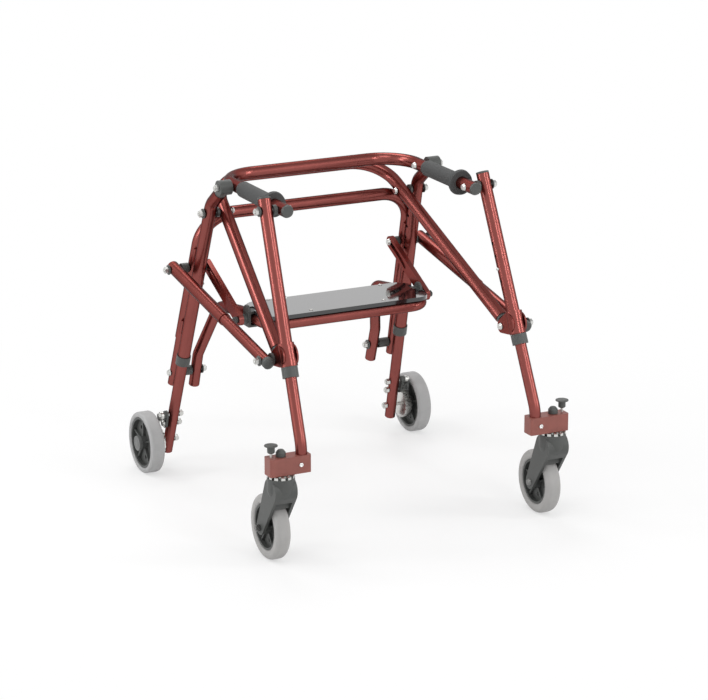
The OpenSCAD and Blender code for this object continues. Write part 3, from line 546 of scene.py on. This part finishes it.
class WALKER_OT_finishes(bpy.types.Operator):
    """Make the finishes and put them on the frame's nodes"""

    bl_idname = "walker.finishes"
    bl_label = "Walker finishes"

    def execute(self, context):
        look = context.scene.walker_finish
        make_mottle_group()
        make_grain_group()
        make_flake_group()
        make_slide_group()
        dress_tubes(look)
        dress_mouldings(look)
        dress_steel(look)
        dress_tyres(look)
        return {"FINISHED"}


def start_piece(name):
    """Names the new active primitive and leaves nothing selected in its mesh."""
    piece = bpy.context.object
    piece.name = name
    bpy.ops.object.mode_set(mode="EDIT")
    bpy.ops.mesh.select_mode(type="FACE")
    bpy.ops.mesh.select_all(action="DESELECT")
    bpy.ops.object.mode_set(mode="OBJECT")
    return piece


def select_faces(piece, test):
    """Selects the faces whose centre and normal pass the test and opens edit mode."""
    for face in piece.data.polygons:
        face.select = test(face.center, face.normal)
    bpy.ops.object.mode_set(mode="EDIT")


def round_edges(piece, width):
    """Bevels the sharp edges of a piece and smooths the rest."""
    bevel = piece.modifiers.new("round", "BEVEL")
    bevel.width = width
    bevel.segments = ROUND_STEPS
    bevel.limit_method = "ANGLE"
    bevel.angle_limit = ROUND_FROM
    bpy.context.view_layer.objects.active = piece
    bpy.ops.object.modifier_apply(modifier=bevel.name)
    bpy.ops.object.select_all(action="DESELECT")
    piece.select_set(True)
    bpy.ops.object.shade_smooth_by_angle(angle=SMOOTH_UP_TO)


def model_screw(name, head_d, head_h):
    """A button-head screw standing on z = 0, with a round socket and a rounded rim."""
    bpy.ops.object.select_all(action="DESELECT")
    bpy.ops.mesh.primitive_cylinder_add(
        vertices=SCREW_SIDES, radius=head_d / 2, depth=head_h,
        location=(0.0, 0.0, head_h / 2))
    piece = start_piece(name)
    select_faces(piece, lambda centre, normal: normal.z > FACING)
    bpy.ops.mesh.inset(thickness=head_d * SCREW_RIM)
    bpy.ops.mesh.extrude_region_move(
        TRANSFORM_OT_translate={"value": (0.0, 0.0, -head_h * SCREW_SOCKET)})
    bpy.ops.object.mode_set(mode="OBJECT")
    bpy.ops.object.transform_apply(location=True, rotation=True, scale=True)
    round_edges(piece, head_h * SCREW_ROUND)
    return piece


def model_cup(name, outer_d, inner_d, depth, hollow, rim, rise):
    """A moulded cup standing on z = 0: hollow below, with a stepped face on top."""
    bpy.ops.object.select_all(action="DESELECT")
    bpy.ops.mesh.primitive_cylinder_add(
        vertices=CUP_SIDES, radius=outer_d / 2, depth=depth, location=(0.0, 0.0, depth / 2))
    piece = start_piece(name)
    select_faces(piece, lambda centre, normal: normal.z < -FACING)
    bpy.ops.mesh.inset(thickness=(outer_d - inner_d) / 2)
    bpy.ops.mesh.extrude_region_move(
        TRANSFORM_OT_translate={"value": (0.0, 0.0, hollow)})
    bpy.ops.mesh.select_all(action="DESELECT")
    bpy.ops.object.mode_set(mode="OBJECT")
    top = max(corner.co.z for corner in piece.data.vertices)
    select_faces(piece, lambda centre, normal: normal.z > FACING and centre.z > top - NEAR)
    bpy.ops.mesh.inset(thickness=rim)
    bpy.ops.transform.translate(value=(0.0, 0.0, rise))
    bpy.ops.mesh.inset(thickness=rim * CUP_STEP_WIDTH)
    bpy.ops.transform.translate(value=(0.0, 0.0, rise * CUP_STEP_RISE))
    bpy.ops.object.mode_set(mode="OBJECT")
    bpy.ops.object.transform_apply(location=True, rotation=True, scale=True)
    round_edges(piece, outer_d * CUP_ROUND)
    return piece


def copy_to(model, name, place, turn=(0.0, 0.0, 0.0)):
    """A copy of a modelled piece with its own mesh, its turn and place applied."""
    bpy.ops.object.select_all(action="DESELECT")
    piece = model.copy()
    piece.data = model.data.copy()
    piece.name = name
    bpy.context.collection.objects.link(piece)
    piece.rotation_euler = turn
    piece.location = place
    piece.select_set(True)
    bpy.context.view_layer.objects.active = piece
    bpy.ops.object.transform_apply(location=True, rotation=True, scale=True)
    return piece


def settle(piece, body):
    """Lets a finished piece ride its body."""
    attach(piece, body)


class WALKER_OT_seat_screws(bpy.types.Operator):
    """Model a panel screw and set four of them into the seat"""

    bl_idname = "walker.seat_screws"
    bl_label = "Seat screws"

    def execute(self, context):
        trim = context.scene.walker_trim
        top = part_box("seat_panel")[1].z
        model = model_screw("seat_screw", trim.seat_screw_d, trim.seat_screw_h)
        model.data.materials.append(bpy.data.materials["plated_zinc"])
        for number, (x, y) in enumerate(SEAT_SCREWS, start=1):
            screw = copy_to(model, f"seat_screw_{number}", (x, y, top - trim.sink))
            settle(screw, "seat")
        bpy.data.objects.remove(model)
        return {"FINISHED"}


class WALKER_OT_block_screws(bpy.types.Operator):
    """Model a socket screw and set one into the front of each caster block"""

    bl_idname = "walker.block_screws"
    bl_label = "Block screws"

    def execute(self, context):
        trim = context.scene.walker_trim
        model = model_screw("block_screw", trim.block_screw_d, trim.block_screw_h)
        model.data.materials.append(bpy.data.materials["bright_steel"])
        turn = (QUARTER_TURN, 0.0, 0.0)
        for side, hand in HANDS.items():
            low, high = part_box(f"caster_block_{side}")
            place = (hand * BLOCK_SCREW_X, low.y + trim.sink, (low.z + high.z) / 2)
            screw = copy_to(model, f"block_screw_{side}", place, turn)
            settle(screw, f"front_lower_{side}")
        bpy.data.objects.remove(model)
        return {"FINISHED"}


class WALKER_OT_hub_caps(bpy.types.Operator):
    """Model the dust cap of a rear hub and set one over each axle head"""

    bl_idname = "walker.hub_caps"
    bl_label = "Rear hub caps"

    def execute(self, context):
        trim = context.scene.walker_trim
        model = model_cup(
            "hub_cap", trim.cap_d, trim.cap_bore, trim.cap_h,
            hollow=trim.cap_h * HUB_CAP_HOLLOW, rim=trim.cap_d * HUB_CAP_RIM,
            rise=-trim.cap_h * HUB_CAP_SINK)
        model.data.materials.append(bpy.data.materials["cap_grey"])
        for side, hand in HANDS.items():
            low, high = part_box(f"rear_hub_{side}")
            outside = high.x if hand > 0 else low.x
            place = (outside - hand * trim.sink, (low.y + high.y) / 2, (low.z + high.z) / 2)
            turn = (0.0, hand * QUARTER_TURN, 0.0)
            cap = copy_to(model, f"hub_cap_{side}", place, turn)
            settle(cap, f"rear_wheel_{side}")
        bpy.data.objects.remove(model)
        return {"FINISHED"}


class WALKER_OT_link_caps(bpy.types.Operator):
    """Model the dark end cap of a link and push one over each link's front end"""

    bl_idname = "walker.link_caps"
    bl_label = "Link end caps"

    def execute(self, context):
        trim = context.scene.walker_trim
        model = model_cup(
            "link_cap", trim.link_cap_d, trim.link_cap_d - 2 * LINK_CAP_WALL, trim.link_cap_h,
            hollow=trim.link_cap_h * LINK_CAP_HOLLOW, rim=trim.link_cap_d * LINK_CAP_RIM,
            rise=trim.link_cap_h * LINK_CAP_RISE)
        model.data.materials.append(bpy.data.materials["moulded_dark_grey"])
        turn = (math.atan2(-LINK_RUN[1], LINK_RUN[2]), 0.0, 0.0)
        for side, hand in HANDS.items():
            place = (
                hand * LINK_END[0],
                LINK_END[1] + LINK_RUN[1] * trim.link_cap_back,
                LINK_END[2] + LINK_RUN[2] * trim.link_cap_back)
            cap = copy_to(model, f"link_cap_{side}", place, turn)
            settle(cap, "link_front")
        bpy.data.objects.remove(model)
        return {"FINISHED"}


def seen_directly(tree, place):
    """A mask: 1 for what the camera, gloss and clear surfaces show, 0 for light cast."""
    x, y = place
    path = add_node(tree, "ShaderNodeLightPath", (x, y))
    seen = add_node(tree, "ShaderNodeMath", (x + 200, y), operation="MAXIMUM")
    tree.links.new(path.outputs["Is Camera Ray"], seen.inputs[0])
    tree.links.new(path.outputs["Is Glossy Ray"], seen.inputs[1])
    through = add_node(tree, "ShaderNodeMath", (x + 400, y), operation="MAXIMUM")
    tree.links.new(seen.outputs[0], through.inputs[0])
    tree.links.new(path.outputs["Is Transmission Ray"], through.inputs[1])
    return through.outputs[0]


def make_floor_material():
    """A white floor that keeps the walker's shadow and fades into the white surroundings."""
    made = bpy.data.materials.new("pale_floor")
    made.use_nodes = True
    tree = made.node_tree
    shader = tree.nodes["Principled BSDF"]
    shader.inputs["Base Color"].default_value = (0.85, 0.85, 0.85, 1.0)
    shader.inputs["Roughness"].default_value = 0.9
    shader.inputs["Specular IOR Level"].default_value = 0.0
    direct = seen_directly(tree, (-900, -300))
    white = add_node(tree, "ShaderNodeEmission", (-100, -200))
    coord = add_node(tree, "ShaderNodeTexCoord", (-900, 300))
    far = add_node(tree, "ShaderNodeVectorMath", (-700, 300), operation="LENGTH")
    tree.links.new(coord.outputs["Object"], far.inputs[0])
    fade = add_node(
        tree, "ShaderNodeMapRange", (-500, 300), interpolation_type="SMOOTHSTEP",
        from_min=0.30, from_max=1.30, to_min=0.55, to_max=1.0)
    tree.links.new(far.outputs["Value"], fade.inputs["Value"])
    share = add_node(tree, "ShaderNodeMath", (-300, 100), operation="MULTIPLY")
    tree.links.new(fade.outputs["Result"], share.inputs[0])
    tree.links.new(direct, share.inputs[1])
    mix = add_node(tree, "ShaderNodeMixShader", (150, 100))
    tree.links.new(share.outputs[0], mix.inputs["Fac"])
    tree.links.new(shader.outputs["BSDF"], mix.inputs[1])
    tree.links.new(white.outputs["Emission"], mix.inputs[2])
    tree.links.new(mix.outputs["Shader"], tree.nodes["Material Output"].inputs["Surface"])
    return made


def make_world(scene):
    """White surroundings: an even soft light, and a background that dims towards the ceiling."""
    world = bpy.data.worlds.new("studio_world")
    scene.world = world
    world.use_nodes = True
    tree = world.node_tree
    back = tree.nodes["Background"]
    back.inputs["Color"].default_value = (1.0, 1.0, 1.0, 1.0)
    pick = add_node(tree, "ShaderNodeMapRange", (-300, 0), to_min=WORLD_LIGHT)
    tree.links.new(seen_directly(tree, (-900, 0)), pick.inputs["Value"])
    coord = add_node(tree, "ShaderNodeTexCoord", (-900, -400))
    axes = add_node(tree, "ShaderNodeSeparateXYZ", (-700, -400))
    tree.links.new(coord.outputs["Generated"], axes.inputs["Vector"])
    ceiling = add_node(
        tree, "ShaderNodeMapRange", (-500, -400), interpolation_type="SMOOTHSTEP",
        from_min=0.40, from_max=0.85, to_min=1.0, to_max=0.50)
    tree.links.new(axes.outputs["Z"], ceiling.inputs["Value"])
    tree.links.new(ceiling.outputs["Result"], pick.inputs["To Max"])
    tree.links.new(pick.outputs["Result"], back.inputs["Strength"])


def facing(place, target):
    """The turn that points a lamp or camera from its place at a target."""
    away = Vector(target) - Vector(place)
    return away.to_track_quat("-Z", "Y").to_euler()


def add_softbox(name, place, size, power):
    """An oblong area light aimed at the middle of the walker."""
    bpy.ops.object.light_add(type="AREA", location=place)
    lamp = bpy.context.object
    lamp.name = name
    lamp.data.shape = "RECTANGLE"
    lamp.data.size = size[0]
    lamp.data.size_y = size[1]
    lamp.data.energy = power
    lamp.rotation_euler = facing(place, SOFTBOX_AIM)


class WALKER_OT_stage(bpy.types.Operator):
    """Lay the pale floor, set the soft lights and place the camera"""

    bl_idname = "walker.stage"
    bl_label = "Walker stage"

    def execute(self, context):
        studio = context.scene.walker_studio
        bpy.ops.object.select_all(action="DESELECT")
        bpy.ops.mesh.primitive_plane_add(size=studio.floor_size, location=(0.0, 0.0, 0.0))
        floor = context.object
        floor.name = "studio_floor"
        floor.data.materials.append(make_floor_material())
        make_world(context.scene)
        for name, place, size, power in SOFTBOXES:
            add_softbox(name, place, size, power)
        bpy.ops.object.camera_add(location=studio.camera_place)
        camera = context.object
        camera.rotation_euler = facing(studio.camera_place, studio.camera_target)
        camera.data.lens = studio.lens
        camera.data.sensor_width = SENSOR_WIDTH
        camera.data.clip_end = CAMERA_REACH
        context.scene.camera = camera
        context.scene.view_settings.view_transform = "Standard"
        return {"FINISHED"}


class WALKER_PT_panel(bpy.types.Panel):
    """The walker's operators and values"""

    bl_label = "Walker"
    bl_idname = "WALKER_PT_panel"
    bl_space_type = "VIEW_3D"
    bl_region_type = "UI"
    bl_category = "Walker"

    def draw(self, context):
        scene = context.scene
        for step in STEPS:
            self.layout.operator(step.bl_idname)
        for group in (scene.walker_finish, scene.walker_trim, scene.walker_studio):
            for name in group.__annotations__:
                self.layout.prop(group, name)


STEPS = (
    WALKER_OT_finishes, WALKER_OT_seat_screws, WALKER_OT_block_screws, WALKER_OT_hub_caps,
    WALKER_OT_link_caps, WALKER_OT_stage)
CLASSES = (WalkerFinish, WalkerTrim, WalkerStudio, *STEPS, WALKER_PT_panel)


def register():
    """Registers the classes and their values."""
    for cls in CLASSES:
        bpy.utils.register_class(cls)
    bpy.types.Scene.walker_finish = bpy.props.PointerProperty(type=WalkerFinish)
    bpy.types.Scene.walker_trim = bpy.props.PointerProperty(type=WalkerTrim)
    bpy.types.Scene.walker_studio = bpy.props.PointerProperty(type=WalkerStudio)


def unregister():
    """Removes the classes and their values."""
    del bpy.types.Scene.walker_studio
    del bpy.types.Scene.walker_trim
    del bpy.types.Scene.walker_finish
    for cls in reversed(CLASSES):
        bpy.utils.unregister_class(cls)


def main():
    """Runs every step in order."""
    register()
    bpy.ops.walker.finishes()
    bpy.ops.walker.seat_screws()
    bpy.ops.walker.block_screws()
    bpy.ops.walker.hub_caps()
    bpy.ops.walker.link_caps()
    bpy.ops.walker.stage()


if __name__ == "__main__":
    main()
